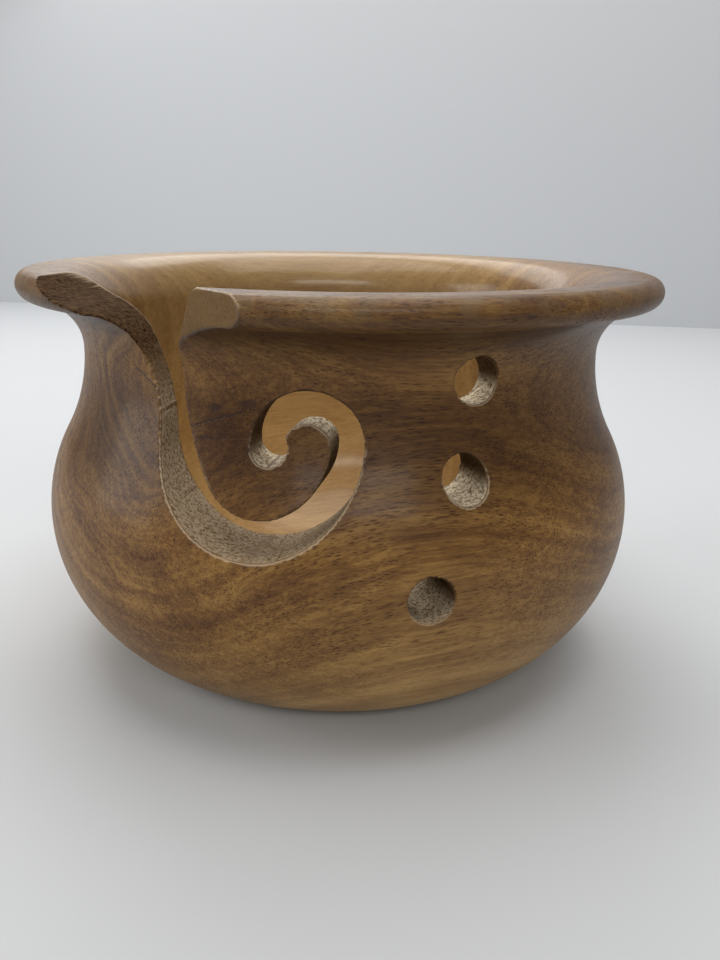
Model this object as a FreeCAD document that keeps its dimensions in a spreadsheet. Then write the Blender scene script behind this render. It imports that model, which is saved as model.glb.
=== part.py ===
import FreeCAD, Part
import math
import os
import Sketcher

# A yarn bowl turned from one block of hardwood: a flaring lip, a drawn-in neck and a round belly on a
# flat base. A scroll-shaped yarn guide is cut through the wall and opens at the rim, and three plain
# holes are drilled beside it. It is one piece of wood, so the document has one body.
# +Z is up, the base stands on z = 0 at the origin, and the yarn guide is cut along Y through the -Y wall.

doc = FreeCAD.newDocument("YarnBowl")

# Driving sizes in millimetres. A drop is measured down from the top of the rim, and a side is
# measured to the left of the bowl's axis, as seen from the front.
SIZES = [
    ("bowl_height", 95.0),        # base to the top of the rim
    ("rim_radius", 75.0),         # widest point of the lip
    ("lip_nose", 3.1),            # radius of the lip's rounded edge
    ("lip_flat", 5.9),            # width of the level band on top of the lip
    ("lip_overhang", 13.6),       # how far the lip stands out from the neck
    ("neck_drop", 17.5),          # rim to the narrowest point of the neck
    ("neck_wall", 6.9),           # wall thickness at the neck
    ("belly_swell", 10.1),        # how far the belly stands out from the neck
    ("belly_height", 38.5),       # base to the widest point of the belly
    ("foot_inset", 29.1),         # how far the flat base lies inside the belly
    ("floor_thickness", 10.0),    # wood under the cavity
    ("floor_curve", 36.0),        # radius between the cavity's floor and its wall
    ("scroll_drop", 29.2),        # rim to the line that the scroll's round centres lie on
    ("scroll_side", 4.0),         # centre of the scroll's big round
    ("scroll_radius", 20.4),      # scroll's big round
    ("crest_radius", 10.7),       # top of the scroll, where it turns back
    ("crest_channel", 6.1),       # width of the channel over the tongue's tip
    ("eye_overcut", 0.55),        # drilled eye's radius, beyond half the channel that it ends
    ("tongue_radius", 12.8),      # underside of the tongue
    ("throat_side", 19.4),        # straight side of the throat
    ("throat_drop", 16.2),        # where the back of the tongue comes upright
    ("lean_side", 15.2),          # where the throat, leaning outwards through the lip, meets its top
    ("lean_drop", 11.5),          # where the throat starts to lean
    ("sweep_side", 30.0),         # first point of the mouth's long left sweep, at the neck
    ("sweep_drop", 11.0),
    ("ramp_side", 40.0),          # second point of the sweep, in the lip
    ("ramp_drop", 4.6),
    ("mouth_side", 51.5),         # where the sweep leaves the top of the rim
    ("facet_side", 2.7),          # where the lip's sanded corner starts on the rim's edge
    ("facet_angle", 49.0),        # the corner's angle from the direction of the cut, in degrees
    ("hole_radius", 4.75),        # each of the three drilled holes
    ("upper_drop", 17.0),
    ("upper_azimuth", 35.9),      # degrees round the bowl from the middle of the front, towards +X
    ("middle_drop", 35.3),
    ("middle_azimuth", 32.5),
    ("lower_drop", 56.8),
    ("lower_azimuth", 25.3),
]
sheet = doc.addObject("Spreadsheet::Sheet", "Sizes")
for row, (name, value) in enumerate(SIZES, start=1):
    sheet.set("A%d" % row, name)
    sheet.set("B%d" % row, str(value))
    sheet.setAlias("B%d" % row, name)
doc.recompute()


def size(name):
    return float(sheet.get(name))


START, END, CENTRE = 1, 2, 3
ORIGIN = (-1, 1)
CLEAR = 4.0                       # how far a cutting outline runs past the wood


def distance(a, b):
    return math.hypot(b[0] - a[0], b[1] - a[1])


def bearing(a, b):
    return math.degrees(math.atan2(b[1] - a[1], b[0] - a[0]))


def toward(a, b, length):
    """The point that lies length from a, on the line to b."""
    share = length / distance(a, b)
    return (a[0] + (b[0] - a[0]) * share, a[1] + (b[1] - a[1]) * share)


def line(a, b):
    return Part.LineSegment(FreeCAD.Vector(a[0], a[1], 0), FreeCAD.Vector(b[0], b[1], 0))


def arc(centre, start, end):
    """Arc about centre, anticlockwise from start to end."""
    up = FreeCAD.Vector(0, 0, 1)
    circle = Part.Circle(FreeCAD.Vector(centre[0], centre[1], 0), up, distance(centre, start))
    first, last = bearing(centre, start), bearing(centre, end)
    while last <= first:
        last += 360.0
    return Part.ArcOfCircle(circle, math.radians(first), math.radians(last))


def arc_leaving(start, heading, end):
    """Arc that leaves start along heading, in degrees, and ends at end, and its heading there."""
    turn = math.radians(bearing(start, end) - heading)
    radius = distance(start, end) / (2.0 * abs(math.sin(turn)))
    side = math.radians(heading + math.copysign(90.0, turn))
    centre = (start[0] + radius * math.cos(side), start[1] + radius * math.sin(side))
    ends = (start, end) if turn > 0 else (end, start)
    return arc(centre, *ends), heading + 2.0 * math.degrees(turn)


def add_sketch(body, name, plane_role, offset=None):
    sketch = body.newObject("Sketcher::SketchObject", name)
    plane = next(f for f in body.Origin.OriginFeatures if f.Role == plane_role)
    sketch.AttachmentSupport = [(plane, "")]
    sketch.MapMode = "FlatFace"
    if offset is not None:
        sketch.AttachmentOffset = offset
    return sketch


def end_at(sketch, geometry, point):
    """Whichever end of the line or arc lies at point."""
    target = FreeCAD.Vector(point[0], point[1], 0)
    return min((START, END), key=lambda end: sketch.getPoint(geometry, end).distanceToPoint(target))


def meet(sketch, kind, first, second, point):
    """Join two pieces of an outline at point, as Coincident or Tangent."""
    ends = (first, end_at(sketch, first, point), second, end_at(sketch, second, point))
    sketch.addConstraint(Sketcher.Constraint(kind, *ends))


def align(sketch, kind, geometry, point):
    """Put the end of an arc that lies at point level with its centre, or straight above it."""
    end = end_at(sketch, geometry, point)
    sketch.addConstraint(Sketcher.Constraint(kind, geometry, end, geometry, CENTRE))


def drive(sketch, constraint, name, expression):
    sketch.addConstraint(constraint)
    sketch.renameConstraint(sketch.ConstraintCount - 1, name)
    sketch.setExpression("Constraints." + name, expression)


def place(sketch, geometry, end, name, across=None, up=None):
    """Hold an end or a centre at driven distances from the origin."""
    here = sketch.getPoint(geometry, end)
    for kind, value, tail, expression in (("DistanceX", here.x, "_x", across),
                                          ("DistanceY", here.y, "_y", up)):
        if expression is not None:
            constraint = Sketcher.Constraint(kind, *ORIGIN, geometry, end, value)
            drive(sketch, constraint, name + tail, expression)


def set_radius(sketch, geometry, name, expression):
    value = sketch.Geometry[geometry].Radius
    drive(sketch, Sketcher.Constraint("Radius", geometry, value), name, expression)


def cut(body, name, sketch, length):
    """Pocket that runs outwards from the sketch's plane, and takes wood away."""
    before = body.Shape.Volume
    pocket = body.newObject("PartDesign::Pocket", name)
    pocket.Profile = sketch
    pocket.Reversed = True
    pocket.setExpression("Length", length)
    doc.recompute()
    if not pocket.Shape.isValid() or pocket.Shape.Volume > before - 1.0:
        raise RuntimeError(name + " cuts nothing")
    return pocket


bowl = doc.addObject("PartDesign::Body", "TurnedBowl")
bowl.Label = "turned_bowl"

# The turned profile, as half a section. Outside, from the rim down: the lip's nose, the cove under
# the lip, the cove below the neck, the upper belly and the lower belly. They meet in tangents, so
# their radii follow from the places of the nose, the neck, the belly's widest point and the base.
height = size("bowl_height")
nose = size("lip_nose")
nose_centre = (size("rim_radius") - nose, height - nose)
nose_top = (nose_centre[0], height)
neck = (size("rim_radius") - size("lip_overhang"), height - size("neck_drop"))
belly = (neck[0] + size("belly_swell"), size("belly_height"))
foot = (belly[0] - size("foot_inset"), 0.0)

run, rise = nose_centre[0] - neck[0], nose_centre[1] - neck[1]
lip_cove = (run * run + rise * rise - nose * nose) / (2.0 * (run + nose))
lip_cove_centre = (neck[0] + lip_cove, neck[1])
lip_joint = toward(nose_centre, lip_cove_centre, nose)
flank = distance(neck, belly) ** 2 / (4.0 * size("belly_swell"))
neck_cove_centre = (neck[0] + flank, neck[1])
shoulder_centre = (belly[0] - flank, belly[1])
flank_joint = toward(shoulder_centre, neck_cove_centre, flank)
lower = distance(foot, belly) ** 2 / (2.0 * size("foot_inset"))
lower_centre = (belly[0] - lower, belly[1])

cavity = neck[0] - size("neck_wall")
curve = size("floor_curve")
axis_foot, axis_floor = (0.0, 0.0), (0.0, size("floor_thickness"))
curve_centre = (cavity - curve, axis_floor[1] + curve)
curve_foot, wall_foot = (curve_centre[0], axis_floor[1]), (cavity, curve_centre[1])
flat_end = (nose_centre[0] - size("lip_flat"), height)
roll = flat_end[0] - cavity
roll_centre, wall_top = (flat_end[0], height - roll), (cavity, height - roll)

profile = add_sketch(bowl, "TurningProfile", "XZ_Plane")
NOSE, LIP_COVE, NECK_COVE, SHOULDER, LOWER, BASE, AXIS, FLOOR, CURVE, WALL, ROLL, FLAT = range(12)
profile.addGeometry([
    arc(nose_centre, lip_joint, nose_top),
    arc(lip_cove_centre, lip_joint, neck),
    arc(neck_cove_centre, neck, flank_joint),
    arc(shoulder_centre, belly, flank_joint),
    arc(lower_centre, foot, belly),
    line(foot, axis_foot),
    line(axis_foot, axis_floor),
    line(axis_floor, curve_foot),
    arc(curve_centre, curve_foot, wall_foot),
    line(wall_foot, wall_top),
    arc(roll_centre, flat_end, wall_top),
    line(flat_end, nose_top),
], False)
meet(profile, "Tangent", NOSE, LIP_COVE, lip_joint)
meet(profile, "Coincident", LIP_COVE, NECK_COVE, neck)
meet(profile, "Tangent", NECK_COVE, SHOULDER, flank_joint)
meet(profile, "Coincident", SHOULDER, LOWER, belly)
meet(profile, "Coincident", LOWER, BASE, foot)
meet(profile, "Coincident", BASE, AXIS, axis_foot)
meet(profile, "Coincident", AXIS, FLOOR, axis_floor)
meet(profile, "Tangent", FLOOR, CURVE, curve_foot)
meet(profile, "Tangent", CURVE, WALL, wall_foot)
meet(profile, "Tangent", WALL, ROLL, wall_top)
meet(profile, "Tangent", ROLL, FLAT, flat_end)
meet(profile, "Coincident", FLAT, NOSE, nose_top)
profile.addConstraint(Sketcher.Constraint("Coincident", AXIS, START, *ORIGIN))
for level in (BASE, FLOOR, FLAT):
    profile.addConstraint(Sketcher.Constraint("Horizontal", level))
for upright in (AXIS, WALL):
    profile.addConstraint(Sketcher.Constraint("Vertical", upright))
profile.addConstraint(Sketcher.Constraint("Equal", NECK_COVE, SHOULDER))
align(profile, "Vertical", NOSE, nose_top)
align(profile, "Horizontal", LIP_COVE, neck)
align(profile, "Horizontal", NECK_COVE, neck)
align(profile, "Horizontal", SHOULDER, belly)
align(profile, "Horizontal", LOWER, belly)

neck_out = "Sizes.rim_radius - Sizes.lip_overhang"
belly_out = neck_out + " + Sizes.belly_swell"
set_radius(profile, NOSE, "nose", "Sizes.lip_nose")
set_radius(profile, CURVE, "curve", "Sizes.floor_curve")
place(profile, NOSE, CENTRE, "nose", "Sizes.rim_radius - Sizes.lip_nose",
      "Sizes.bowl_height - Sizes.lip_nose")
place(profile, LIP_COVE, END, "neck", neck_out, "Sizes.bowl_height - Sizes.neck_drop")
place(profile, SHOULDER, START, "belly", belly_out, "Sizes.belly_height")
place(profile, BASE, START, "foot", belly_out + " - Sizes.foot_inset")
place(profile, AXIS, END, "floor", up="Sizes.floor_thickness")
place(profile, WALL, START, "cavity", neck_out + " - Sizes.neck_wall")
place(profile, FLAT, START, "flat", "Sizes.rim_radius - Sizes.lip_nose - Sizes.lip_flat")

turning = bowl.newObject("PartDesign::Revolution", "Turning")
turning.Profile = profile
turning.ReferenceAxis = (profile, ["V_Axis"])
turning.Angle = 360.0
doc.recompute()

# The yarn guide, seen from the front. A big round, a crest that turns back over the tongue's tip and
# a drilled eye are all centred on one level line. The throat climbs at the left of the tongue, and
# the mouth sweeps out through the lip.
scroll_z = height - size("scroll_drop")
big, crest = size("scroll_radius"), size("crest_radius")
eye = size("crest_channel") / 2.0 + size("eye_overcut")
tip = crest - size("crest_channel")
big_centre = (-size("scroll_side"), scroll_z)
big_left, big_right = (big_centre[0] - big, scroll_z), (big_centre[0] + big, scroll_z)
crest_centre = (big_right[0] - crest, scroll_z)
crest_left = (crest_centre[0] - crest, scroll_z)
eye_centre = (crest_left[0] + eye, scroll_z)
tip_right = (crest_centre[0] + tip, scroll_z)
tongue_centre = (tip_right[0] - size("tongue_radius"), scroll_z)

# The eye breaks into the channel, and leaves the tongue's sharp point.
apart = crest_centre[0] - eye_centre[0]
along = (eye * eye - tip * tip + apart * apart) / (2.0 * apart)
point = (eye_centre[0] + along, scroll_z + math.sqrt(eye * eye - along * along))

# The tongue's back is one arc, from its underside to the upright side of the throat.
throat = (-size("throat_side"), height - size("throat_drop"))
reach, climb = tongue_centre[0] - throat[0], throat[1] - scroll_z
back = (reach * reach + climb * climb - size("tongue_radius") ** 2)
back /= 2.0 * (reach - size("tongue_radius"))
back_centre = (throat[0] + back, throat[1])
back_joint = toward(back_centre, tongue_centre, back)

sweep = (-size("sweep_side"), height - size("sweep_drop"))
ramp = (-size("ramp_side"), height - size("ramp_drop"))
mouth = (-size("mouth_side"), height)
rise_arc, heading = arc_leaving(big_left, 90.0, sweep)
sweep_arc, heading = arc_leaving(sweep, heading, ramp)
ramp_arc, heading = arc_leaving(ramp, heading, mouth)
lean, lip_corner = (throat[0], height - size("lean_drop")), (-size("lean_side"), height)
lid_right, lid_left = (lip_corner[0], height + CLEAR), (mouth[0], height + CLEAR)

guide = add_sketch(bowl, "YarnGuideOutline", "XZ_Plane")
(BIG, CREST, EYE, TIP, TONGUE, BACK, THROAT, LEAN, RIGHT, LID, LEFT, RAMP, SWEEP,
 RISE) = range(14)
guide.addGeometry([
    arc(big_centre, big_left, big_right),
    arc(crest_centre, big_right, crest_left),
    arc(eye_centre, crest_left, point),
    arc(crest_centre, tip_right, point),
    arc(tongue_centre, back_joint, tip_right),
    arc(back_centre, throat, back_joint),
    line(throat, lean),
    line(lean, lip_corner),
    line(lip_corner, lid_right),
    line(lid_right, lid_left),
    line(lid_left, mouth),
    ramp_arc,
    sweep_arc,
    rise_arc,
], False)
meet(guide, "Tangent", BIG, CREST, big_right)
meet(guide, "Tangent", CREST, EYE, crest_left)
meet(guide, "Coincident", EYE, TIP, point)
meet(guide, "Tangent", TIP, TONGUE, tip_right)
meet(guide, "Tangent", TONGUE, BACK, back_joint)
meet(guide, "Tangent", BACK, THROAT, throat)
meet(guide, "Coincident", THROAT, LEAN, lean)
meet(guide, "Coincident", LEAN, RIGHT, lip_corner)
meet(guide, "Coincident", RIGHT, LID, lid_right)
meet(guide, "Coincident", LID, LEFT, lid_left)
meet(guide, "Coincident", LEFT, RAMP, mouth)
meet(guide, "Tangent", RAMP, SWEEP, ramp)
meet(guide, "Tangent", SWEEP, RISE, sweep)
meet(guide, "Tangent", RISE, BIG, big_left)
guide.addConstraint(Sketcher.Constraint("Coincident", TIP, CENTRE, CREST, CENTRE))
guide.addConstraint(Sketcher.Constraint("Horizontal", LID))
for upright in (THROAT, RIGHT, LEFT):
    guide.addConstraint(Sketcher.Constraint("Vertical", upright))
align(guide, "Horizontal", BIG, big_left)
align(guide, "Horizontal", BIG, big_right)
align(guide, "Horizontal", CREST, crest_left)
align(guide, "Horizontal", TIP, tip_right)
set_radius(guide, BIG, "big", "Sizes.scroll_radius")
set_radius(guide, CREST, "crest", "Sizes.crest_radius")
set_radius(guide, EYE, "eye", "Sizes.crest_channel / 2 + Sizes.eye_overcut")
set_radius(guide, TIP, "tip", "Sizes.crest_radius - Sizes.crest_channel")
set_radius(guide, TONGUE, "tongue", "Sizes.tongue_radius")
place(guide, BIG, CENTRE, "big", "-Sizes.scroll_side", "Sizes.bowl_height - Sizes.scroll_drop")
place(guide, THROAT, START, "throat", "-Sizes.throat_side", "Sizes.bowl_height - Sizes.throat_drop")
place(guide, LEAN, START, "lean", up="Sizes.bowl_height - Sizes.lean_drop")
place(guide, LEAN, END, "corner", "-Sizes.lean_side", "Sizes.bowl_height")
place(guide, LID, START, "lid", up="Sizes.bowl_height + %g" % CLEAR)
place(guide, RAMP, end_at(guide, RAMP, mouth), "mouth", "-Sizes.mouth_side", "Sizes.bowl_height")
place(guide, RAMP, end_at(guide, RAMP, ramp), "ramp", "-Sizes.ramp_side",
      "Sizes.bowl_height - Sizes.ramp_drop")
place(guide, SWEEP, end_at(guide, SWEEP, sweep), "sweep", "-Sizes.sweep_side",
      "Sizes.bowl_height - Sizes.sweep_drop")
cut(bowl, "YarnGuide", guide, "Sizes.rim_radius + %g" % CLEAR)

# The lip's right-hand corner is sanded away to a plane, seen here from above: it runs in from the
# rim's edge to the throat, and reaches down through the lip to the neck.
rim = size("rim_radius")
slope = math.tan(math.radians(size("facet_angle")))
edge_y = -math.sqrt(rim ** 2 - size("facet_side") ** 2)
facet_out = (-size("facet_side") + (rim + CLEAR + edge_y) * slope, -rim - CLEAR)
facet_in = (throat[0], edge_y + (size("throat_side") - size("facet_side")) / slope)
waste_in, waste_out = (throat[0] - CLEAR, facet_in[1]), (throat[0] - CLEAR, facet_out[1])

facet = add_sketch(bowl, "FacetOutline", "XY_Plane")
FACET, INNER, SIDE, OUTER = range(4)
facet.addGeometry([
    line(facet_out, facet_in),
    line(facet_in, waste_in),
    line(waste_in, waste_out),
    line(waste_out, facet_out),
], False)
meet(facet, "Coincident", FACET, INNER, facet_in)
meet(facet, "Coincident", INNER, SIDE, waste_in)
meet(facet, "Coincident", SIDE, OUTER, waste_out)
meet(facet, "Coincident", OUTER, FACET, facet_out)
facet.addConstraint(Sketcher.Constraint("Horizontal", INNER))
facet.addConstraint(Sketcher.Constraint("Vertical", SIDE))
facet.addConstraint(Sketcher.Constraint("Horizontal", OUTER))
rim_edge = "sqrt(Sizes.rim_radius ^ 2 - Sizes.facet_side ^ 2)"
slope_of = "tan(Sizes.facet_angle * 1 deg)"
place(facet, FACET, START, "edge",
      "(Sizes.rim_radius + %g - %s) * %s - Sizes.facet_side" % (CLEAR, rim_edge, slope_of),
      "-Sizes.rim_radius - %g" % CLEAR)
place(facet, FACET, END, "throat", "-Sizes.throat_side",
      "(Sizes.throat_side - Sizes.facet_side) / %s - %s" % (slope_of, rim_edge))
place(facet, SIDE, START, "waste", "-Sizes.throat_side - %g" % CLEAR)
facet.setExpression("AttachmentOffset.Base.z", "Sizes.bowl_height - Sizes.neck_drop")
cut(bowl, "LipFacet", facet, "Sizes.neck_drop + %g" % CLEAR)

# Three holes in a slanting row, each drilled square to the wall, straight at the bowl's axis.
for hole in ("upper", "middle", "lower"):
    turned = FreeCAD.Placement(FreeCAD.Vector(), FreeCAD.Rotation(FreeCAD.Vector(0, 1, 0), 30.0))
    circle = add_sketch(bowl, hole.title() + "HoleOutline", "XZ_Plane", turned)
    centre = FreeCAD.Vector(0, height - size(hole + "_drop"), 0)
    circle.addGeometry(Part.Circle(centre, FreeCAD.Vector(0, 0, 1), size("hole_radius")), False)
    circle.addConstraint(Sketcher.Constraint("PointOnObject", 0, CENTRE, -2))
    place(circle, 0, CENTRE, "hole", up="Sizes.bowl_height - Sizes.%s_drop" % hole)
    set_radius(circle, 0, "bore", "Sizes.hole_radius")
    circle.setExpression("AttachmentOffset.Rotation.Angle", "Sizes.%s_azimuth * 1 deg" % hole)
    cut(bowl, hole.title() + "Hole", circle, "Sizes.rim_radius + %g" % CLEAR)

doc.recompute()
for item in doc.Objects:
    if "Invalid" in item.State or "Error" in item.State:
        raise RuntimeError(item.Label + " failed to build")
if bowl.Shape.isNull() or not bowl.Shape.isValid() or len(bowl.Shape.Solids) != 1:
    raise RuntimeError(bowl.Label + " is not one valid solid")

os.makedirs("parts", exist_ok=True)
bowl.Shape.exportStep("parts/" + bowl.Label + ".step")
for sketch in (profile, guide, facet):
    print("%s: solver %d" % (sketch.Name, sketch.solve()))
box = bowl.Shape.BoundBox
print("turned_bowl %.1f x %.1f x %.1f mm" % (box.XLength, box.YLength, box.ZLength))
print("%.1f cm3" % (bowl.Shape.Volume / 1000.0))
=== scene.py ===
import math

import bmesh
import bpy
from mathutils import Matrix, Vector, kdtree, noise


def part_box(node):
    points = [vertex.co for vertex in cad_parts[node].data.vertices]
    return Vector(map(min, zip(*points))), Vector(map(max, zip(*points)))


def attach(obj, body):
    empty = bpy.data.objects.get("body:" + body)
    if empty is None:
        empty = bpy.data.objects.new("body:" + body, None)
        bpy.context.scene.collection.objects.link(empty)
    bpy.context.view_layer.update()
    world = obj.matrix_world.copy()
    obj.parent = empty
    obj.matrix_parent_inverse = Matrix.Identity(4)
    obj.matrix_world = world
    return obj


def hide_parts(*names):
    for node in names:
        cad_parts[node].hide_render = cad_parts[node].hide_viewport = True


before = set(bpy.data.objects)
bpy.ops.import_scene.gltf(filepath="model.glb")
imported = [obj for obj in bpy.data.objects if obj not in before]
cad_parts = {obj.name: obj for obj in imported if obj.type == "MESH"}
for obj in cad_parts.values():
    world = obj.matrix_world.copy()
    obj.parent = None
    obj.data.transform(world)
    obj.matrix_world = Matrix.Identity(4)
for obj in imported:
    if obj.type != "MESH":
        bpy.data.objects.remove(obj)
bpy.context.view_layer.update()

# A yarn bowl: one block of open-pored brown hardwood, turned on a lathe, with a scroll-shaped yarn
# guide sawn through its wall and three drilled holes beside it. Named sizes are in millimetres, and
# MM turns them into the scene's metres. +Z is up, the base stands on z = 0, and the guide is cut
# along Y through the -Y wall.


# ---- The turned bowl -------------------------------------------------------------------------
# One block of hardwood between the lathe's centres. The outside is turned from the flat base over
# a round belly and a drawn-in neck to a heavy flared lip, and the inside is hollowed to one wall.

MM = 0.001


def point(x, z):
    """A place in the XZ plane, given in millimetres."""
    return Vector((x, 0.0, z)) * MM


def towards(a, b, length):
    """The place at a length from a, on the way to b."""
    return a + (b - a).normalized() * length


def spacing(length, step):
    """How many steps a length takes."""
    return max(2, math.ceil(length / step))


def swing(mesh, last, centre, end, step=0.6 * MM):
    """Carry the outline on from its last vertex, round centre, until it reaches end."""
    a, b = last.co - centre, end - centre
    angle = math.atan2(a.z * b.x - a.x * b.z, a.x * b.x + a.z * b.z)
    swung = bmesh.ops.spin(mesh, geom=[last], cent=centre, axis=(0.0, 1.0, 0.0), angle=angle,
                           steps=spacing(abs(angle) * a.length, step), use_duplicate=False)
    tip = next(item for item in swung["geom_last"] if isinstance(item, bmesh.types.BMVert))
    tip.co = end
    return tip


def straight(mesh, last, end, step=0.6 * MM):
    """Carry the outline on in a straight run to end."""
    run = spacing((end - last.co).length, step)
    stride = (end - last.co) / run
    for _ in range(run):
        grown = bmesh.ops.extrude_vert_indiv(mesh, verts=[last])["verts"][0]
        grown.co += stride
        last = grown
    last.co = end
    return last


bowl_low, bowl_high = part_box("turned_bowl")
rim_top = bowl_high.z / MM
rim_radius = bowl_high.x / MM

# The lip's rounded nose, the flat on its top, and how far it stands out past the neck.
nose_radius, lip_flat, lip_overhang = 3.1, 5.9, 13.6
# The neck lies neck_drop below the rim, and the foot is foot_inset in from the widest belly.
neck_drop, neck_wall = 17.5, 6.9
belly_swell, belly_height, foot_inset = 10.1, 38.5, 29.1
floor_thickness, floor_curve = 10.0, 36.0

nose = point(rim_radius - nose_radius, rim_top - nose_radius)
nose_top = point(rim_radius - nose_radius, rim_top)
neck = point(rim_radius - lip_overhang, rim_top - neck_drop)
belly = point(neck.x / MM + belly_swell, belly_height)
foot = point(belly.x / MM - foot_inset, 0.0)

reach = nose - neck
lip_cove = (reach.length_squared - (nose_radius * MM) ** 2) / (2.0 * (reach.x + nose_radius * MM))
lip_cove_centre = neck + Vector((lip_cove, 0.0, 0.0))
flank = (neck - belly).length_squared / (4.0 * belly_swell * MM)
neck_cove_centre = neck + Vector((flank, 0.0, 0.0))
shoulder_centre = belly - Vector((flank, 0.0, 0.0))
flank_joint = towards(shoulder_centre, neck_cove_centre, flank)
lower = (foot - belly).length_squared / (2.0 * foot_inset * MM)
lower_centre = belly - Vector((lower, 0.0, 0.0))

cavity = neck.x / MM - neck_wall
curve_centre = point(cavity - floor_curve, floor_thickness + floor_curve)
lip_inner = point(rim_radius - nose_radius - lip_flat, rim_top)
roll = lip_inner.x / MM - cavity
roll_centre = point(lip_inner.x / MM, rim_top - roll)

profile = bmesh.new()
tip = profile.verts.new((0.0, 0.0, 0.0))
tip = straight(profile, tip, foot, 3.0 * MM)
tip = swing(profile, tip, lower_centre, belly)
tip = swing(profile, tip, shoulder_centre, flank_joint)
tip = swing(profile, tip, neck_cove_centre, neck)
tip = swing(profile, tip, lip_cove_centre, towards(nose, lip_cove_centre, nose_radius * MM), 0.4 * MM)
tip = swing(profile, tip, nose, nose_top, 0.3 * MM)
tip = straight(profile, tip, lip_inner)
tip = swing(profile, tip, roll_centre, point(cavity, rim_top - roll))
tip = straight(profile, tip, point(cavity, floor_thickness + floor_curve))
tip = swing(profile, tip, curve_centre, point(curve_centre.x / MM, floor_thickness))
tip = straight(profile, tip, point(0.0, floor_thickness), 3.0 * MM)

# The profile's own points are kept, so that the turned faces can be trued up after the carving.
turned_line = [vert.co.copy() for vert in profile.verts]
bmesh.ops.spin(profile, geom=profile.verts[:] + profile.edges[:], cent=(0.0, 0.0, 0.0),
               axis=(0.0, 0.0, 1.0), angle=math.tau, steps=240, use_merge=True,
               use_duplicate=False)
bmesh.ops.remove_doubles(profile, verts=profile.verts[:], dist=0.01 * MM)
bmesh.ops.recalc_face_normals(profile, faces=profile.faces[:])
blank_mesh = bpy.data.meshes.new("turned_blank")
profile.to_mesh(blank_mesh)
profile.free()
blank = bpy.data.objects.new("turned_blank", blank_mesh)
bpy.context.scene.collection.objects.link(blank)


# ---- The yarn guide and the holes ------------------------------------------------------------
# A coping saw cuts the guide from the rim: a mouth that sweeps down through the lip, a throat, and
# a scroll whose tongue ends in a sharp tip over a drilled eye. The lip's corner beside the mouth is
# sanded off flat. Three 9.5 mm holes are drilled towards the axis, in a slanting row.

# Cutters stand clear of the wood. The scroll is arcs: the big outer curve, the crest over the
# tongue, the sawn channel's width, the eye, and the tongue's own lower curve.
clear = 6.0
scroll_side, scroll_drop = 4.0, 29.2
big, crest, channel, eye, tongue = 20.4, 10.7, 6.1, 3.6, 12.8
throat_side, throat_drop, lean_side, lean_drop = 19.4, 16.2, 15.2, 11.5

scroll_z = rim_top - scroll_drop
crest_tip = crest - channel
big_centre = point(-scroll_side, scroll_z)
big_left, big_right = point(-scroll_side - big, scroll_z), point(-scroll_side + big, scroll_z)
crest_centre = big_right - Vector((crest * MM, 0.0, 0.0))
crest_left = crest_centre - Vector((crest * MM, 0.0, 0.0))
eye_centre = crest_left + Vector((eye * MM, 0.0, 0.0))
tip_right = crest_centre + Vector((crest_tip * MM, 0.0, 0.0))
tongue_centre = tip_right - Vector((tongue * MM, 0.0, 0.0))
apart = (crest_centre.x - eye_centre.x) / MM
along = (eye ** 2 - crest_tip ** 2 + apart ** 2) / (2.0 * apart)
sharp_tip = eye_centre + point(along, math.sqrt(eye ** 2 - along ** 2))
throat = point(-throat_side, rim_top - throat_drop)
inward, climb = (tongue_centre.x - throat.x) / MM, throat_drop - scroll_drop
back = (inward ** 2 + climb ** 2 - tongue ** 2) / (2.0 * (inward - tongue))
back_centre = throat + Vector((back * MM, 0.0, 0.0))
back_joint = towards(back_centre, tongue_centre, back * MM)
corner, worn_radius = point(-lean_side, rim_top), 3.2
worn_run = worn_radius / math.tan((math.pi - math.atan2(lean_drop, throat_side - lean_side)) / 2.0)
sweep, ramp, mouth = point(-30.0, rim_top - 11.0), point(-40.0, rim_top - 4.6), point(-51.5, rim_top)


def swing_on(mesh, last, heading, end):
    """Carry the outline on as an arc that leaves along heading and ends at end."""
    chord = end - last.co
    turn = math.atan2(chord.z, chord.x) - heading
    radius = chord.length / (2.0 * abs(math.sin(turn)))
    side = heading + math.copysign(math.pi / 2.0, turn)
    centre = last.co + Vector((math.cos(side), 0.0, math.sin(side))) * radius
    return swing(mesh, last, centre, end), heading + 2.0 * turn


def long_swing(mesh, last, centre, ends):
    """An arc of more than half a turn, carried round in shorter swings."""
    for end in ends:
        last = swing(mesh, last, centre, end)
    return last


def round_the(centre, radius, *degrees):
    """Places round a centre, at angles counted from +X towards +Z."""
    return [centre + Vector((math.cos(math.radians(a)), 0.0, math.sin(math.radians(a))))
            * radius * MM for a in degrees]


outline = bmesh.new()
first = outline.verts.new(mouth)
tip = straight(outline, first, mouth + point(0.0, clear), 2.0 * MM)
tip = straight(outline, tip, corner + point(worn_run, clear), 2.0 * MM)
tip = straight(outline, tip, corner + point(worn_run, 0.0), 2.0 * MM)
tip = swing(outline, tip, corner + point(worn_run, -worn_radius),
            towards(corner, point(-throat_side, rim_top - lean_drop), worn_run * MM))
tip = straight(outline, tip, point(-throat_side, rim_top - lean_drop))
tip = straight(outline, tip, throat)
tip = swing(outline, tip, back_centre, back_joint)
tip = long_swing(outline, tip, tongue_centre, [tongue_centre - Vector((0.0, 0.0, tongue * MM)),
                                               tip_right])
tip = long_swing(outline, tip, crest_centre, round_the(crest_centre, crest_tip, 90.0) + [sharp_tip])
tip = long_swing(outline, tip, eye_centre, round_the(eye_centre, eye, 0.0, 270.0) + [crest_left])
tip = long_swing(outline, tip, crest_centre, round_the(crest_centre, crest, 90.0) + [big_right])
tip = long_swing(outline, tip, big_centre, round_the(big_centre, big, 270.0) + [big_left])
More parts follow.
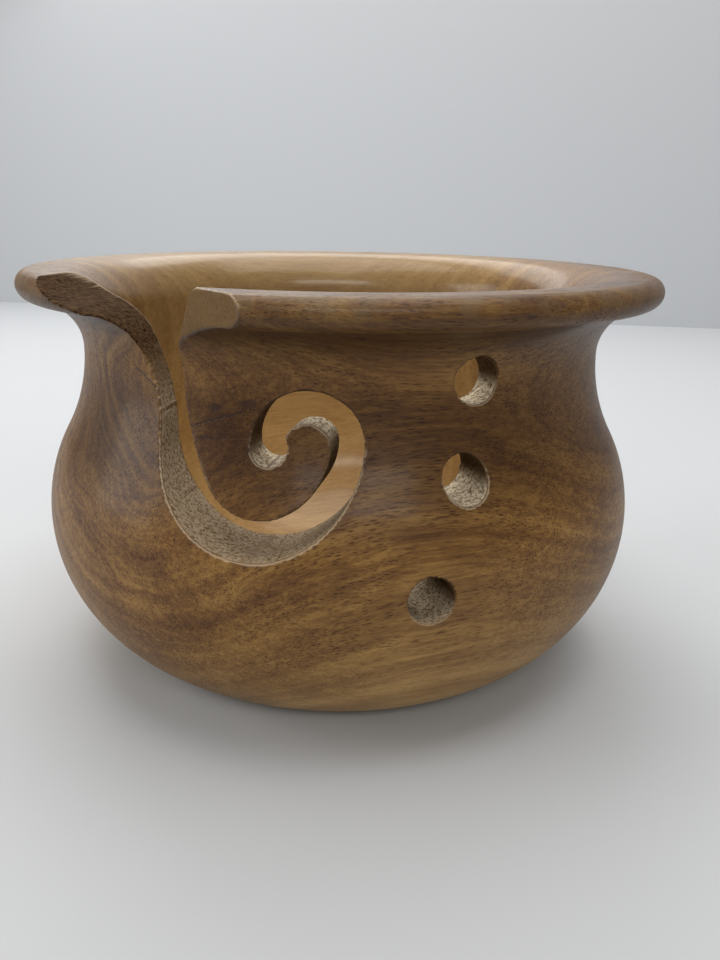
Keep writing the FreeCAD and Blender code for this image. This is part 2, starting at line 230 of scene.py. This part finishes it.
tip, heading = swing_on(outline, tip, math.pi / 2.0, sweep)
tip, heading = swing_on(outline, tip, heading, ramp)
tip, heading = swing_on(outline, tip, heading, mouth)
bmesh.ops.remove_doubles(outline, verts=[tip, first], dist=0.01 * MM)


def cutter_from(mesh, name, run):
    """Close the outline, draw it out along run, and make it an object that cuts."""
    bmesh.ops.contextual_create(mesh, geom=mesh.edges[:])
    drawn = bmesh.ops.extrude_face_region(mesh, geom=mesh.faces[:], use_keep_orig=True)["geom"]
    bmesh.ops.translate(mesh, vec=run, verts=[v for v in drawn if isinstance(v, bmesh.types.BMVert)])
    bmesh.ops.recalc_face_normals(mesh, faces=mesh.faces[:])
    made = bpy.data.meshes.new(name)
    mesh.to_mesh(made)
    mesh.free()
    cutter = bpy.data.objects.new(name, made)
    bpy.context.scene.collection.objects.link(cutter)
    return cutter


cutters = [cutter_from(outline, "guide_saw", Vector((0.0, -(rim_radius + clear) * MM, 0.0)))]

# The sander's block reaches over the whole neck and lip, and its slanted side is the sanded face.
facet_side, facet_turn, block_right = 2.7, math.radians(49.0), 20.0
edge_y = -math.sqrt(rim_radius ** 2 - facet_side ** 2)
far_x, inner_y = -throat_side - 4.0, edge_y + (throat_side - facet_side) / math.tan(facet_turn)
sander = bmesh.new()
bmesh.ops.create_cube(sander, size=1.0)
bmesh.ops.scale(sander, vec=(block_right - far_x, inner_y + rim_radius + clear, neck_drop + clear),
                verts=sander.verts[:])
bmesh.ops.translate(sander, vec=((block_right + far_x) / 2.0, (inner_y - rim_radius - clear) / 2.0,
                                 rim_top + (clear - neck_drop) / 2.0), verts=sander.verts[:])
bmesh.ops.bisect_plane(sander, geom=sander.verts[:] + sander.edges[:] + sander.faces[:],
                       plane_co=(-facet_side, edge_y, 0.0), clear_outer=True,
                       plane_no=(math.cos(facet_turn), math.sin(facet_turn), 0.0))
bmesh.ops.holes_fill(sander, edges=sander.edges[:], sides=0)
bmesh.ops.scale(sander, vec=(MM, MM, MM), verts=sander.verts[:])
bmesh.ops.recalc_face_normals(sander, faces=sander.faces[:])
sander_mesh = bpy.data.meshes.new("corner_sander")
sander.to_mesh(sander_mesh)
sander.free()
cutters.append(bpy.data.objects.new("corner_sander", sander_mesh))
bpy.context.scene.collection.objects.link(cutters[-1])

hole_radius = 4.75
for name, drop, azimuth in (("upper", 17.0, 35.9), ("middle", 35.3, 32.5), ("lower", 56.8, 25.3)):
    drill = bmesh.new()
    bmesh.ops.create_cone(drill, cap_ends=True, segments=48, radius1=hole_radius * MM,
                          radius2=hole_radius * MM, depth=(rim_radius + clear) * MM)
    bmesh.ops.rotate(drill, cent=(0.0, 0.0, 0.0), verts=drill.verts[:],
                     matrix=Matrix.Rotation(math.pi / 2.0, 3, "X"))
    bmesh.ops.translate(drill, vec=(0.0, -(rim_radius + clear) / 2.0 * MM, (rim_top - drop) * MM),
                        verts=drill.verts[:])
    bmesh.ops.rotate(drill, cent=(0.0, 0.0, 0.0), verts=drill.verts[:],
                     matrix=Matrix.Rotation(math.radians(azimuth), 3, "Z"))
    drill_mesh = bpy.data.meshes.new(name + "_drill")
    drill.to_mesh(drill_mesh)
    drill.free()
    cutters.append(bpy.data.objects.new(name + "_drill", drill_mesh))
    bpy.context.scene.collection.objects.link(cutters[-1])

# The carved shape gets one even skin, so that its arrises can be eased and chipped.
skin_grid, kept_share = 0.42 * MM, 0.134
for cutter in cutters:
    carve = blank.modifiers.new(cutter.name, "BOOLEAN")
    carve.operation = "DIFFERENCE"
    carve.solver = "EXACT"
    carve.object = cutter
evenly = blank.modifiers.new("even_skin", "REMESH")
evenly.mode = "VOXEL"
evenly.voxel_size = skin_grid
ease = blank.modifiers.new("eased_arrises", "SMOOTH")
ease.factor = 0.5
ease.iterations = 1
thin = blank.modifiers.new("fewer_faces", "DECIMATE")
thin.ratio = kept_share
carved_mesh = bpy.data.meshes.new_from_object(
    blank.evaluated_get(bpy.context.evaluated_depsgraph_get()))

# Faces that the lathe left are trued up to its line. What lies off that line is a sawn, sanded or
# drilled face, and how far it lies off is kept on the mesh for the finish.
line_tree = kdtree.KDTree(len(turned_line))
for index, place in enumerate(turned_line):
    line_tree.insert(place, index)
line_tree.balance()

lip_index = min(range(len(turned_line)), key=lambda place: (turned_line[place] - nose_top).length)
trued_within, hub_radius = 0.12 * MM, 1.0 * MM

carved = bmesh.new()
carved.from_mesh(carved_mesh)
sawn = carved.verts.layers.float.new("sawn_depth")
bare_and_lit = carved.verts.layers.float.new("bare_and_lit_wood")
soaked_and_shaded = carved.verts.layers.float.new("soaked_and_shaded")
looks_up = carved.verts.layers.float.new("looks_up")
inside = carved.verts.layers.float.new("inside")
for vert in carved.verts:
    radius = math.hypot(vert.co.x, vert.co.y)
    nearest, index, _ = line_tree.find(Vector((radius, 0.0, vert.co.z)))
    ahead = turned_line[min(index + 1, len(turned_line) - 1)] - turned_line[max(index - 1, 0)]
    across = Vector((-ahead.z, 0.0, ahead.x)).normalized()
    gap = (Vector((radius, 0.0, vert.co.z)) - nearest).dot(across)
    vert[sawn] = abs(gap) / MM
    vert[inside] = float(index > lip_index)
    if abs(gap) < trued_within and radius > hub_radius:
        radius_on = radius - gap * across.x
        vert.co = (vert.co.x * radius_on / radius, vert.co.y * radius_on / radius,
                   vert.co.z - gap * across.z)


def clamp(value):
    return min(1.0, max(0.0, value))


# Cut faces are left more unoiled further below the lip, and the ramp took up oil. At the tongue,
# the eye and in the holes, faces that look up are painted pale as lit wood, and side walls are
# painted dark as shade along with the oiled faces. Saw and drill left a rough face, and chipped its
# arrises here and there.
tongue_tip, tongue_reach, tongue_fade = crest_centre + point(-2.0, 2.0), 15.0, 5.0
lip_depth, throat_edge, throat_fade, holes_side = 12.0, -22.0, 4.0, 20.0
pit_size, pit_depth, chip_depth, chip_reach, untouched = 1.6, 0.06, 0.45, 1.4, 0.02
carved.normal_update()
for vert in carved.verts:
    at_tongue = (Vector((vert.co.x, 0.0, vert.co.z)) - tongue_tip).length / MM
    below_lip = (rim_top - lip_depth) - vert.co.z / MM
    near_tongue = clamp((tongue_reach - at_tongue) / tongue_fade)
    on_tongue = clamp(0.2 + 1.1 * vert.normal.z)
    left_of_throat = clamp((throat_edge - vert.co.x / MM) / throat_fade)
    vert[bare_and_lit] = 0.02 + 0.36 * clamp(below_lip / lip_depth)
    # Painted light at the tongue and the eye: faces that look up come out pale.
    vert[bare_and_lit] += near_tongue * (on_tongue - vert[bare_and_lit])
    vert[soaked_and_shaded] = left_of_throat * clamp(1.0 - below_lip / 14.0)
    # Painted shade at the tongue and the eye: faces that look sideways come out dark.
    vert[soaked_and_shaded] = max(vert[soaked_and_shaded], 0.8 * near_tongue * (1.0 - on_tongue))
    # Painted light and shade in the holes: floors that look up come out pale and side walls dark, and
    # the lower holes darker.
    if vert.co.x > holes_side * MM:
        vert[bare_and_lit] = clamp(0.25 + 1.5 * vert.normal.z) * min(1.0, vert.co.z / MM / 50.0)
        vert[soaked_and_shaded] = 0.75 * (1.0 - vert[bare_and_lit])
    vert[looks_up] = vert.normal.z
    if vert[sawn] > untouched:
        chip = noise.turbulence(vert.co / (pit_size * MM), 3, False)
        near_arris = max(0.0, 1.0 - vert[sawn] / chip_reach)
        depth = (chip - 0.35) * pit_depth + max(0.0, chip - 0.75) * near_arris * chip_depth
        vert.co -= vert.normal * depth * (1.0 - 0.7 * vert[soaked_and_shaded]) * MM
for face in carved.faces:
    face.smooth = True
bowl_mesh = bpy.data.meshes.new("yarn_bowl")
carved.to_mesh(bowl_mesh)
carved.free()
bowl = bpy.data.objects.new("yarn_bowl", bowl_mesh)
bpy.context.scene.collection.objects.link(bowl)
for tool in [blank] + cutters:
    bpy.data.objects.remove(tool)
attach(bowl, "root")
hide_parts("turned_bowl")

# The wood is coloured through its whole thickness, as rings round the pith and fibres along it,
# so the same figure runs over the lip, down the sawn faces and into the cavity.
wood = bpy.data.materials.new("oiled_hardwood")
wood.use_nodes = True
tree = wood.node_tree
tree.nodes.clear()


def node(kind, **settings):
    made = tree.nodes.new("ShaderNode" + kind)
    for name, value in settings.items():
        setattr(made, name, value)
    return made


def feed(target, **inputs):
    """Fill a node's inputs, by name or by place, with values or with other nodes' outputs."""
    for name, value in inputs.items():
        key = int(name[1:]) if name[0] == "i" and name[1:].isdigit() else name.replace("_", " ")
        if isinstance(value, bpy.types.NodeSocket):
            tree.links.new(value, target.inputs[key])
        else:
            target.inputs[key].default_value = value
    return target


def maths(operation, first, second=0.0, third=0.0, clamped=False):
    made = node("Math", operation=operation, use_clamp=clamped)
    return feed(made, i0=first, i1=second, i2=third).outputs[0]


def vector_maths(operation, first, second):
    return feed(node("VectorMath", operation=operation), i0=first, i1=second).outputs[0]


def ramp_between(value, low, high, to_low=0.0, to_high=1.0):
    """Ease from one strength to another as a value goes from low to high."""
    made = node("MapRange", interpolation_type="SMOOTHSTEP")
    return feed(made, Value=value, From_Min=low, From_Max=high, To_Min=to_low,
                To_Max=to_high).outputs[0]


def cloud(at, scale, detail=2.0, roughness=0.5):
    made = node("TexNoise", noise_dimensions="3D")
    return feed(made, Vector=at, Scale=scale, Detail=detail, Roughness=roughness).outputs[0]


def mixed(amount, first, second, blend="MIX"):
    made = node("Mix", data_type="RGBA", blend_type=blend)
    return feed(made, i0=amount, i6=first, i7=second).outputs[2]


# The pith ran level, in front of the bowl's axis, so heartwood is in front and sapwood behind.
fibre_turn, pith_z, pith_off = 25.0, 74.0, 40.0
knot_along, knot_width, knot_pull = -47.0, 20.0, 0.20
position = node("TexCoord").outputs["Object"]
in_log = feed(node("Mapping"), Vector=position, Rotation=(0.0, 0.0, math.radians(-fibre_turn)),
              Scale=(1000.0, 1000.0, 1000.0), Location=(0.0, pith_off, -pith_z)).outputs[0]

# The fibres spread a little round a knot at the left of the guide, and wander everywhere.
from_knot = node("SeparateXYZ")
feed(from_knot, Vector=in_log)
near_knot = maths("DIVIDE", maths("SUBTRACT", from_knot.outputs[0], knot_along), knot_width)
near_knot = maths("EXPONENT", maths("MULTIPLY", maths("POWER", near_knot, 2.0), -0.5))
spread = maths("SUBTRACT", 1.0, maths("MULTIPLY", near_knot, knot_pull))
flowing = feed(node("CombineXYZ"), X=from_knot.outputs[0], Y=from_knot.outputs[1],
               Z=maths("MULTIPLY", from_knot.outputs[2], spread)).outputs[0]


def wander(scale, width):
    """A slow sideways drift of the fibres, in millimetres."""
    drift = feed(node("TexNoise"), Vector=vector_maths("MULTIPLY", in_log, (0.5, 1.0, 1.0)),
                 Scale=scale, Detail=1.0).outputs[1]
    return vector_maths("MULTIPLY", vector_maths("SUBTRACT", drift, (0.5, 0.5, 0.5)),
                        (0.0, width, width))


grown = vector_maths("ADD", vector_maths("ADD", flowing, wander(0.028, 7.0)), wander(0.09, 1.4))

across_log = node("SeparateXYZ")
feed(across_log, Vector=grown)
ring = maths("SQRT", maths("ADD", maths("POWER", across_log.outputs[1], 2.0),
                           maths("POWER", across_log.outputs[2], 2.0)))

in_millimetres = vector_maths("MULTIPLY", position, (1000.0, 1000.0, 1000.0))
in_bowl = node("SeparateXYZ")
feed(in_bowl, Vector=in_millimetres)
bowl_x, bowl_y, bowl_z = in_bowl.outputs
off_axis = maths("SQRT", maths("ADD", maths("POWER", bowl_x, 2.0), maths("POWER", bowl_y, 2.0)))


def bands(value, scale, detail):
    """Uneven light and dark lines across a value that grows outwards, as rings do."""
    made = node("TexNoise", noise_dimensions="1D")
    return feed(made, W=value, Scale=scale, Detail=detail, Roughness=0.6).outputs[0]


def along_fibres(along, across, detail, roughness=0.55):
    return cloud(vector_maths("MULTIPLY", grown, (along, across, across)), 1.0, detail, roughness)


# Rings close in round the knot, left of the throat, as arcs that run down and under the cut.
knot_x, knot_z = -20.0, 76.0
round_knot = maths("SQRT", maths("ADD", maths("POWER", maths("SUBTRACT", bowl_x, knot_x), 2.0),
                                 maths("POWER", maths("SUBTRACT", bowl_z, knot_z), 2.0)))
round_knot = maths("ADD", round_knot, maths("MULTIPLY", cloud(in_log, 0.05, 1.0), 14.0))
knot_side = maths("MULTIPLY", ramp_between(bowl_x, -28.0, -16.0, 1.0, 0.0),
                  ramp_between(bowl_y, -34.0, -20.0, 1.0, 0.0))
knot_side = maths("MULTIPLY", knot_side, ramp_between(round_knot, 38.0, 62.0, 1.0, 0.0))
knot_rings = maths("MULTIPLY", maths("SUBTRACT", bands(round_knot, 0.55, 2.0), 0.5), knot_side)

streaks = along_fibres(0.035, 1.1, 3.0, 0.6)
threads = along_fibres(0.16, 3.2, 2.0, 0.7)
mottle = along_fibres(0.05, 0.11, 2.0)
tone = maths("ADD", maths("ADD", maths("MULTIPLY", bands(ring, 0.22, 3.0), 0.26),
                          maths("MULTIPLY", streaks, 0.30)),
             maths("ADD", maths("MULTIPLY", mottle, 0.22), maths("MULTIPLY", threads, 0.22)))
tone = ramp_between(maths("ADD", tone, maths("MULTIPLY", knot_rings, 0.28)), 0.33, 0.67)

heart = node("ValToRGB")
feed(heart, Fac=tone)
heart.color_ramp.elements[0].color = (0.080, 0.030, 0.0075, 1.0)
heart.color_ramp.elements[1].color = (0.295, 0.165, 0.045, 1.0)
middle = heart.color_ramp.elements.new(0.5)
middle.color = (0.172, 0.083, 0.020, 1.0)

sap = node("ValToRGB")
feed(sap, Fac=tone)
sap.color_ramp.elements[0].color = (0.28, 0.160, 0.054, 1.0)
sap.color_ramp.elements[1].color = (0.44, 0.285, 0.115, 1.0)

core_radius, heart_radius, sap_radius = 12.0, 38.0, 88.0
in_sap = ramp_between(ring, heart_radius, sap_radius)
dark_core = ramp_between(ring, core_radius, 36.0, 0.72, 1.0)
core = feed(node("CombineColor"), Red=dark_core, Green=maths("POWER", dark_core, 1.15),
            Blue=maths("POWER", dark_core, 1.2)).outputs[0]
colour = mixed(1.0, heart.outputs[0], core, "MULTIPLY")

# A dark band of heartwood crosses the front at the scroll's height. The sapwood is painted paler
# downwards and darker towards the rim: painted light on the lower inner wall.
band_foot, band_low, band_high, band_top = 46.0, 62.0, 72.0, 79.0
front_band = maths("MULTIPLY", ramp_between(bowl_z, band_foot, band_low),
                   ramp_between(bowl_z, band_high, band_top, 1.0, 0.0))
front_band = maths("MULTIPLY", front_band, ramp_between(bowl_y, -50.0, -30.0, 0.65, 0.0))
colour = mixed(front_band, colour, mixed(1.0, colour, (0.40, 0.32, 0.27, 1.0), "MULTIPLY"))
# Painted light: the sapwood is paler low down and darker towards the rim.
painted_light_below = ramp_between(bowl_z, 25.0, 85.0, 1.30, 0.72)
colour = mixed(in_sap, colour, vector_maths("MULTIPLY", sap.outputs[0], painted_light_below))


def pores(along_fibre, across, low, high, seed):
    """Open vessels: long dashes where the surface runs with the fibre, dots where it cuts it."""
    stretched = vector_maths("MULTIPLY", vector_maths("ADD", grown, (seed, seed, seed)),
                             (along_fibre, across, across))
    cells = node("TexVoronoi", feature="F1")
    feed(cells, Vector=stretched, Scale=1.0, Randomness=1.0)
    return ramp_between(cells.outputs["Distance"], low, high, 1.0, 0.0)


crowded = ramp_between(along_fibres(0.05, 0.24, 2.0), 0.34, 0.56, 0.45, 1.0)
vessels = maths("MAXIMUM", pores(0.24, 2.1, 0.16, 0.34, 0.0),
                maths("MULTIPLY", pores(0.40, 3.2, 0.18, 0.40, 37.0), 0.75))
vessels = maths("MULTIPLY", maths("MULTIPLY", vessels, crowded),
                ramp_between(in_sap, 0.1, 0.7, 1.0, 0.22))
colour = mixed(maths("MULTIPLY", vessels, 0.85), colour,
               mixed(1.0, colour, (0.28, 0.19, 0.14, 1.0), "MULTIPLY"))

# Painted shade darkens the neck under the lip and the lower part of the lip's outer face, and the
# lip's top is darkened a little in the heartwood. The lip's crest is mottled paler tan.
shade_under_lip = maths("MULTIPLY", ramp_between(bowl_z, 82.0, 88.0), ramp_between(bowl_z, 89.6, 88.4))
shade_under_lip = maths("MULTIPLY", shade_under_lip, ramp_between(off_axis, 61.6, 63.5))
lip_face_shade = maths("MULTIPLY", ramp_between(off_axis, 71.0, 73.5), ramp_between(bowl_z, 93.2, 90.8))
blotches = ramp_between(cloud(in_log, 0.22, 3.0, 0.6), 0.42, 0.62)
lip_crest = maths("MULTIPLY", ramp_between(off_axis, 69.0, 72.0), ramp_between(bowl_z, 90.8, 92.6))
colour = mixed(maths("MULTIPLY", maths("MULTIPLY", lip_crest, blotches), 0.45), colour,
               (0.17, 0.120, 0.062, 1.0))
shaded = maths("MAXIMUM", maths("MULTIPLY", shade_under_lip, 0.72), maths("MULTIPLY", lip_face_shade, 0.50))
darker_lip_top = maths("MULTIPLY", ramp_between(off_axis, 63.0, 68.0, 0.0, 0.30),
                ramp_between(bowl_z, 88.0, 90.0))
shaded = maths("MAXIMUM", shaded, maths("MULTIPLY", darker_lip_top, maths("SUBTRACT", 1.0, in_sap)))
# Painted shade under the lip and on the lip's lower face, with the lip's darker top, mixed towards near
# black.
colour = mixed(shaded, colour, (0.030, 0.014, 0.008, 1.0))


def hairline(x_from, z_from, x_to, z_to, width):
    """A drying check in the front wall, from one place to the other, as a ragged dark line."""
    slope = (z_to - z_from) / (x_to - x_from)
    wobble = maths("MULTIPLY", maths("SUBTRACT", bands(bowl_x, 0.9, 2.0), 0.5), 1.1)
    run = maths("MULTIPLY", maths("SUBTRACT", bowl_x, x_from), slope)
    off = maths("SUBTRACT", maths("SUBTRACT", bowl_z, z_from), maths("ADD", run, wobble))
    line = ramp_between(maths("ABSOLUTE", off), 0.3 * width, width, 1.0, 0.0)
    span = maths("MULTIPLY", ramp_between(bowl_x, x_from - 0.5, x_from + 0.5),
                 ramp_between(bowl_x, x_to - 1.5, x_to, 1.0, 0.0))
    in_front = ramp_between(bowl_y, -40.0, -39.0, 1.0, 0.0)
    return maths("MULTIPLY", maths("MULTIPLY", line, span), in_front)


def fleck(x, y, z, wide, high):
    """A dark fleck or pit, wide along the surface and high up it."""
    there = vector_maths("ADD", vector_maths("SUBTRACT", in_millimetres, (x, y, z)), wander(0.8, 1.2))
    size = feed(node("VectorMath", operation="LENGTH"),
                i0=vector_maths("MULTIPLY", there, (1.0 / wide, 1.0 / wide, 1.0 / high))).outputs[1]
    return ramp_between(size, 0.5, 1.0, 1.0, 0.0)


# Three checks run from the throat, with two stains by the scroll and a pit in the lip.
checks = maths("MAXIMUM", hairline(-17.6, 68.4, -5.7, 72.4, 0.30),
               hairline(-16.6, 66.4, -9.0, 66.9, 0.20))
checks = maths("MAXIMUM", checks, hairline(-31.5, 78.4, -24.6, 73.6, 0.30))
flecks = maths("MAXIMUM", fleck(-5.7, -61.2, 73.6, 2.6, 1.0), fleck(45.3, -59.7, 91.4, 1.5, 0.55))
flecks = maths("MAXIMUM", flecks, fleck(-12.5, -60.8, 72.6, 2.2, 0.9))
flaws = maths("MAXIMUM", checks, maths("MULTIPLY", flecks, 0.75))
colour = mixed(maths("MULTIPLY", flaws, 0.85), colour, (0.022, 0.010, 0.006, 1.0))

# Sawn and drilled faces took oil unevenly: unoiled ones are rough, speckled and pale, oiled ones dark.
# In the holes and round the eye, the pale floors are partly painted light and the dark walls painted
# shade. Arrises that look up get a light line, partly edge wear and partly a painted highlight, and
# those that look down get a dark line of painted shade.
off_line = node("Attribute", attribute_name="sawn_depth").outputs["Fac"]
bare_and_lit_wood = node("Attribute", attribute_name="bare_and_lit_wood").outputs["Fac"]
oil_and_shade = node("Attribute", attribute_name="soaked_and_shaded").outputs["Fac"]
facing_up = node("Attribute", attribute_name="looks_up").outputs["Fac"]
hollow = node("Attribute", attribute_name="inside").outputs["Fac"]
raw_face = maths("MAXIMUM", ramp_between(off_line, 0.22, 0.6),
                 maths("MULTIPLY", ramp_between(off_line, 0.04, 0.15), oil_and_shade))
arris = maths("MULTIPLY", ramp_between(off_line, 0.01, 0.06),
              ramp_between(off_line, 0.10, 0.32, 1.0, 0.0))
speckle = cloud(in_log, 1.5, 3.0, 0.7)
fine_streaks = along_fibres(0.10, 2.2, 2.0, 0.6)
sanded = mixed(fine_streaks, (0.085, 0.050, 0.023, 1.0), (0.20, 0.130, 0.065, 1.0))
# The dark oiled colour, which on the side walls of the holes and the eye also stands for painted shade.
oiled_and_shaded = mixed(ramp_between(fine_streaks, 0.34, 0.66), (0.012, 0.005, 0.002, 1.0),
              (0.085, 0.048, 0.022, 1.0))
sanded = mixed(oil_and_shade, sanded, oiled_and_shaded)
colour = mixed(maths("MULTIPLY", raw_face, ramp_between(oil_and_shade, 0.0, 1.0, 0.80, 0.97)), colour,
               sanded)
# Pale speckled raw wood, which on up-facing floors in the holes and the eye is partly painted light.
dust_and_lit_pale = mixed(ramp_between(speckle, 0.34, 0.60), (0.16, 0.105, 0.055, 1.0), (0.74, 0.64, 0.48, 1.0))
without_oil_or_shade = maths("SUBTRACT", 1.0, oil_and_shade)
colour = mixed(maths("MULTIPLY", raw_face, maths("MULTIPLY", bare_and_lit_wood, without_oil_or_shade)), colour, dust_and_lit_pale)
# A light line on arrises that look up: partly edge wear, partly a painted highlight.
wear_and_highlight = maths("MULTIPLY", arris, ramp_between(facing_up, 0.1, 0.6, 0.0, 0.45))
oil_and_shade_outside = maths("MULTIPLY", oil_and_shade, maths("SUBTRACT", 1.0, hollow))
wear_and_highlight = maths("MULTIPLY", wear_and_highlight, maths("SUBTRACT", 1.0, oil_and_shade_outside))
colour = mixed(wear_and_highlight, colour, (0.60, 0.50, 0.36, 1.0))
# A dark line on arrises that look down: painted shade.
colour = mixed(maths("MULTIPLY", arris, ramp_between(facing_up, 0.1, -0.3, 0.0, 0.60)), colour,
               (0.035, 0.018, 0.009, 1.0))

# Vessels, checks and flecks are sunk a little, over the lathe's fine lines.
lathe_lines = maths("MULTIPLY", bands(bowl_z, 1.3, 2.0), 0.5)
grain_height = maths("SUBTRACT", maths("ADD", maths("MULTIPLY", threads, 0.4), lathe_lines), vessels)
grain_height = maths("SUBTRACT", grain_height, maths("MULTIPLY", flaws, 3.0))
rough_height = maths("MULTIPLY", maths("MULTIPLY", speckle, maths("MULTIPLY", raw_face, bare_and_lit_wood)), 8.0)
bump = feed(node("Bump"), Strength=0.35, Distance=0.00006,
            Height=maths("ADD", grain_height, rough_height))

surface = node("BsdfPrincipled")
shine = maths("ADD", 0.46, maths("MULTIPLY", vessels, 0.20))
shine = maths("ADD", shine, maths("MULTIPLY", raw_face, 0.38), clamped=True)
polish = maths("MULTIPLY", ramp_between(hollow, 0.0, 1.0, 0.10, 0.40), maths("SUBTRACT", 1.0, raw_face))
feed(surface, Base_Color=colour, Roughness=shine, Normal=bump.outputs[0], Coat_Weight=polish,
     Specular_IOR_Level=maths("SUBTRACT", 0.22, maths("MULTIPLY", raw_face, 0.19)))
surface.inputs["Coat Roughness"].default_value = 0.16
tree.links.new(surface.outputs[0], node("OutputMaterial").inputs[0])
bowl_mesh.materials.append(wood)


# ---- The floor, the light and the camera -----------------------------------------------------
# A plain pale floor and backdrop, lit by a window behind, a bright ceiling, a long window in front
# and a weak light at the left. The camera looks down a little at the guide, from close in front.

studio_size, backdrop_y = 1.6, 0.7
floor_mesh = bmesh.new()
bmesh.ops.create_grid(floor_mesh, x_segments=1, y_segments=1, size=studio_size)
bmesh.ops.translate(floor_mesh, vec=(0.0, 0.0, bowl_low.z), verts=floor_mesh.verts[:])
floor_data = bpy.data.meshes.new("floor")
floor_mesh.to_mesh(floor_data)
floor_mesh.free()
floor = bpy.data.objects.new("floor", floor_data)
bpy.context.scene.collection.objects.link(floor)
paper = bpy.data.materials.new("pale_paper")
paper.use_nodes = True
paper_surface = paper.node_tree.nodes["Principled BSDF"]
paper_surface.inputs["Base Color"].default_value = (0.49, 0.515, 0.55, 1.0)
paper_surface.inputs["Roughness"].default_value = 0.9
floor_data.materials.append(paper)

wall_mesh = bmesh.new()
bmesh.ops.create_grid(wall_mesh, x_segments=1, y_segments=1, size=studio_size)
bmesh.ops.rotate(wall_mesh, cent=(0.0, 0.0, 0.0), verts=wall_mesh.verts[:],
                 matrix=Matrix.Rotation(math.pi / 2.0, 3, "X"))
bmesh.ops.translate(wall_mesh, vec=(0.0, backdrop_y, studio_size + bowl_low.z),
                    verts=wall_mesh.verts[:])
wall_data = bpy.data.meshes.new("backdrop")
wall_mesh.to_mesh(wall_data)
wall_mesh.free()
wall_data.materials.append(paper)
wall = bpy.data.objects.new("backdrop", wall_data)
bpy.context.scene.collection.objects.link(wall)

world = bpy.data.worlds.new("studio")
world.use_nodes = True
world.node_tree.nodes["Background"].inputs["Color"].default_value = (1.0, 0.975, 0.94, 1.0)
world.node_tree.nodes["Background"].inputs["Strength"].default_value = 0.26
bpy.context.scene.world = world
bpy.context.scene.view_settings.view_transform = "Standard"


def soft_light(name, place, aim, width, depth, power, tint):
    """A rectangular light at a place, turned towards its aim."""
    lamp = bpy.data.lights.new(name, "AREA")
    lamp.shape = "RECTANGLE"
    lamp.size, lamp.size_y = width, depth
    lamp.energy = power
    lamp.color = tint
    holder = bpy.data.objects.new(name, lamp)
    holder.location = place
    holder.rotation_euler = (Vector(aim) - Vector(place)).to_track_quat("-Z", "Y").to_euler()
    bpy.context.scene.collection.objects.link(holder)


soft_light("window_behind", (-0.25, 0.60, 0.55), (0.0, 0.0, 0.06), 0.7, 0.5, 3.6, (1.0, 0.97, 0.93))
soft_light("ceiling", (0.05, 0.05, 1.1), (0.0, 0.0, 0.05), 1.0, 1.0, 10.5, (1.0, 0.96, 0.90))
soft_light("window_in_front", (0.30, -1.00, 0.70), (0.0, 0.0, 0.05), 0.9, 0.24, 4.8, (1.0, 0.95, 0.88))
soft_light("left_side", (-0.9, -0.25, 0.35), (0.0, 0.0, 0.05), 0.5, 0.6, 4.0, (1.0, 0.97, 0.92))

# The camera stands camera_rise above the rim, a little to the right of the guide.
camera_azimuth, camera_distance, camera_rise = math.radians(11.1), 0.2242, 0.0147
pan, pitch, roll_turn = math.radians(1.31), math.radians(17.07), math.radians(0.97)
lens = bpy.data.cameras.new("camera")
lens.sensor_width = 36.0
lens.lens = 33.75
lens.clip_start = 0.01
camera = bpy.data.objects.new("camera", lens)
bpy.context.scene.collection.objects.link(camera)
stand = Vector((camera_distance * math.sin(camera_azimuth), -camera_distance * math.cos(camera_azimuth),
                bowl_high.z + camera_rise))
camera.matrix_world = (Matrix.Translation(stand) @ Matrix.Rotation(camera_azimuth - pan, 4, "Z")
                       @ Matrix.Rotation(math.pi / 2.0 - pitch, 4, "X")
                       @ Matrix.Rotation(roll_turn, 4, "Z"))
bpy.context.scene.camera = camera
